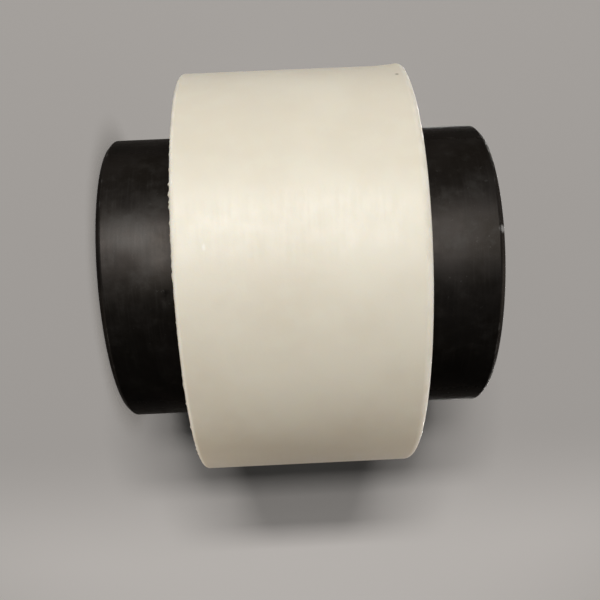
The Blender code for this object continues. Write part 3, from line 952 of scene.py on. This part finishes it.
class ScrewsOperator(bpy.types.Operator):
    """Make both set screws."""

    bl_idname = "coupling.set_screws"
    bl_label = "Set screws"

    def execute(self, context):
        hubs, screws = context.scene.coupling_hubs, context.scene.coupling_screws
        finish = screw_finish(screws)
        aim = Matrix.Rotation(hubs.keyway_direction, 4, "Z") @ Matrix.Rotation(math.pi / 2, 4, "Y")
        heights = {"a": screws.inset, "b": TOTAL_LENGTH - screws.inset}
        for letter, height in heights.items():
            piece = surface_object(
                "cup_point_screw_" + letter, screw_surface(hubs, screws), ends="poles"
            )
            piece.data.transform(Matrix.Translation((0.0, 0.0, height)) @ aim)
            settle(piece, finish, "hub_" + letter, "screw_steel", "set_screw_" + letter)
        return {"FINISHED"}


class RingsOperator(bpy.types.Operator):
    """Make both wire rings."""

    bl_idname = "coupling.rings"
    bl_label = "Retaining rings"

    def execute(self, context):
        rings, sleeve = context.scene.coupling_rings, context.scene.coupling_sleeve
        hubs = context.scene.coupling_hubs
        finish = wire_finish(rings)
        for letter, side in (("a", -1), ("b", 1)):
            piece = surface_object("wire_ring_" + letter, ring_surface(rings), ends="poles")
            opening = Matrix.Rotation(hubs.keyway_direction + side * math.pi / 2, 4, "Z")
            height = TOTAL_LENGTH / 2 + side * sleeve.groove_offset
            piece.data.transform(Matrix.Translation((0.0, 0.0, height)) @ opening)
            settle(piece, finish, "sleeve", "spring_wire", "retaining_ring_" + letter)
        return {"FINISHED"}


def softbox(name, place, watts, tint):
    """A lamp that faces the middle of the part from its place and isn't seen itself."""
    data = bpy.data.lights.new(name, "AREA")
    data.shape = "RECTANGLE"
    data.size, data.size_y = place.size
    data.energy = watts
    data.color = tint
    lamp = new_object(name, data)
    turn, lift = math.radians(place.heading), math.radians(place.rise)
    flat = math.cos(lift)
    away = Vector((flat * math.cos(turn), flat * math.sin(turn), math.sin(lift)))
    lamp.location = away * place.distance + Vector((0.0, 0.0, TOTAL_LENGTH / 2))
    lamp.rotation_euler = away.to_track_quat("Z", "Y").to_euler()
    lamp.visible_camera = False
    return lamp


def link_light(lamp, state, *things):
    """Have a lamp light only these things ("INCLUDE") or all but these ("EXCLUDE")."""
    group = bpy.data.collections.new(lamp.name)
    for thing in things:
        group.objects.link(thing)
    for member in group.collection_objects:
        member.light_linking.link_state = state
    lamp.light_linking.receiver_collection = group


def stage_object(name, points, faces):
    """A new mesh object from points and faces, for the studio's floor, wall or flag."""
    mesh = bpy.data.meshes.new(name)
    mesh.from_pydata(points, [], faces)
    thing = new_object(name, mesh)
    return thing


def make_world(studio):
    """A world that lights the part evenly and shows the backdrop to the camera."""
    world = bpy.data.worlds.new("studio")
    world.use_nodes = True
    nodes = Nodes(world.node_tree)
    nodes.tree.nodes.clear()
    rays = nodes.tree.nodes.new("ShaderNodeLightPath").outputs
    seen = nodes.math("MAXIMUM", rays["Is Camera Ray"], rays["Is Glossy Ray"])
    seen = nodes.math("MAXIMUM", seen, rays["Is Transmission Ray"])
    light = nodes.add("Background", {"Color": studio.ambient})
    backdrop = nodes.add("Background", {"Color": studio.backdrop})
    out = nodes.tree.nodes.new("ShaderNodeOutputWorld")
    nodes.feed(out.inputs[0], nodes.add("MixShader", {0: seen, 1: light, 2: backdrop}))
    return world


def make_lamps(studio):
    """The lamps by name, those of the wall in the ambient light's own colour."""
    warm = [shade / studio.ambient[0] for shade in studio.ambient]
    tints = {"low": warm, "high": warm, "bounce_a": ROSY, "bounce_b": ROSY}
    lamps = {}
    for name, place in LAMPS.items():
        lamps[name] = softbox(name, place, getattr(studio, name), tints.get(name, WHITE))
    lamps["rear"].data.cycles.use_multiple_importance_sampling = False
    return lamps


def backdrop_under(studio, lights):
    """The colour that looks like the backdrop in a light."""
    return [shade / light for shade, light in zip(studio.backdrop, lights)]


def make_floor(studio, corners):
    """The floor under the part, which clears a little way off into the backdrop."""
    lights = [ambient + studio.top_level for ambient in studio.ambient]
    floor = stage_object("floor", [(x, y, -FLOOR_SINK) for x, y in corners], [(0, 1, 2, 3)])
    finish = Finish("floor")
    finish.matt(backdrop_under(studio, lights))
    finish.clear(finish.between(finish.off_axis(), *FLOOR_CLEARS, 0.6, 1.0))
    floor.data.materials.append(finish.material)
    floor.visible_shadow = floor.visible_diffuse = floor.visible_glossy = False
    return floor


def make_wall(studio, corners):
    """The wall beside the part, clear at its edges and seen only from the part's side."""
    share = 1.0 + studio.wall_level / studio.ambient[0]
    lights = [ambient * share for ambient in studio.ambient]
    place, middle = SLEEVE_BOX[1].y + WALL_GAP, TOTAL_LENGTH / 2
    wall = stage_object("wall", [(x, place, middle + z) for x, z in corners], [(0, 1, 2, 3)])
    finish = Finish("wall")
    away = finish.vector("DISTANCE", finish.place(), (0.0, place, middle), "Value")
    across = finish.add("SeparateXYZ", {0: finish.place()}, "X")
    plain = finish.vector("SCALE", backdrop_under(studio, lights))
    # Painted light: the wall's colour grows paler towards +X, as if more light fell there.
    paler = finish.between(across, *WALL_PAINTED_LIGHT, 1.0, WALL_PAINTED_LIGHT_BY)
    finish.feed(plain.node.inputs["Scale"], paler)
    finish.matt(plain)
    behind_it = finish.add("NewGeometry", {}, "Backfacing")
    finish.clear(finish.math("MAXIMUM", behind_it, finish.between(away, *WALL_CLEARS)))
    wall.data.materials.append(finish.material)
    wall.visible_shadow = False
    return wall


def make_flag():
    """A black flag round the lamps' side that only reflections see, in place of the dark room and
    the shade beside the part.
    """
    angle = np.radians(np.linspace(*FLAG_HEADINGS, FLAG_PANELS + 1))
    points = polar_points(FLAG_RADIUS, angle, np.array(FLAG_HEIGHTS)[:, None])
    column = np.arange(FLAG_PANELS)
    above = column + FLAG_PANELS + 1
    panels = np.stack([column, column + 1, above + 1, above], axis=-1)
    flag = stage_object("flag", points.reshape(-1, 3), panels.tolist())
    flag.visible_camera = flag.visible_diffuse = flag.visible_shadow = False
    finish = Finish("black_flag")
    finish.matt(FLAG_BLACK)
    flag.data.materials.append(finish.material)


def make_camera():
    """The camera at the photograph's viewing angle."""
    data = bpy.data.cameras.new("camera")
    data.lens = CAMERA_LENS
    data.shift_x, data.shift_y = CAMERA_SHIFT
    camera = new_object("camera", data)
    camera.location = CAMERA_PLACE
    camera.rotation_euler = Euler([math.radians(turn) for turn in CAMERA_TURN])
    return camera


class StudioOperator(bpy.types.Operator):
    """Make the floor, the backdrop, the lamps and the camera."""

    bl_idname = "coupling.studio"
    bl_label = "Studio"

    def execute(self, context):
        scene, studio = context.scene, context.scene.coupling_studio
        scene.view_settings.view_transform = "Standard"
        scene.world = make_world(studio)
        lamps = make_lamps(studio)
        corners = np.array([(-1, -1), (1, -1), (1, 1), (-1, 1)]) * STAGE_REACH
        floor, wall = make_floor(studio, corners), make_wall(studio, corners)
        steel = [bpy.data.objects["steel_hub_" + letter] for letter in "ab"]
        for name in ("key", "front", "rear"):
            link_light(lamps[name], "EXCLUDE", floor, wall)
        for name in ("bounce_a", "bounce_b"):
            link_light(lamps[name], "EXCLUDE", floor, wall, *steel)
        for name in ("low", "high"):
            link_light(lamps[name], "INCLUDE", wall)
        link_light(lamps["top"], "EXCLUDE", wall)
        make_flag()
        scene.camera = make_camera()
        return {"FINISHED"}


class CouplingPanel(bpy.types.Panel):
    """Lists the coupling's operators."""

    bl_idname = "VIEW3D_PT_coupling"
    bl_label = "Gear coupling"
    bl_space_type = "VIEW_3D"
    bl_region_type = "UI"
    bl_category = "Coupling"

    def draw(self, context):
        for operator in OPERATORS:
            self.layout.operator(operator.bl_idname)


GROUPS = {
    "coupling_teeth": CouplingTeeth,
    "coupling_sleeve": CouplingSleeve,
    "coupling_hubs": CouplingHubs,
    "coupling_screws": CouplingScrews,
    "coupling_rings": CouplingRings,
    "coupling_studio": CouplingStudio,
}
OPERATORS = (SleeveOperator, HubsOperator, ScrewsOperator, RingsOperator, StudioOperator)
CLASSES = (*GROUPS.values(), *OPERATORS, CouplingPanel)


def register():
    """Register the classes and put the settings on the scene."""
    for kind in CLASSES:
        bpy.utils.register_class(kind)
    for name, group in GROUPS.items():
        setattr(bpy.types.Scene, name, PointerProperty(type=group))


def unregister():
    """Take the settings off the scene and unregister the classes."""
    for name in GROUPS:
        delattr(bpy.types.Scene, name)
    for kind in reversed(CLASSES):
        bpy.utils.unregister_class(kind)


def main():
    """Make every piece."""
    register()
    bpy.ops.coupling.sleeve()
    bpy.ops.coupling.hubs()
    bpy.ops.coupling.set_screws()
    bpy.ops.coupling.rings()
    bpy.ops.coupling.studio()


if __name__ == "__main__":
    main()
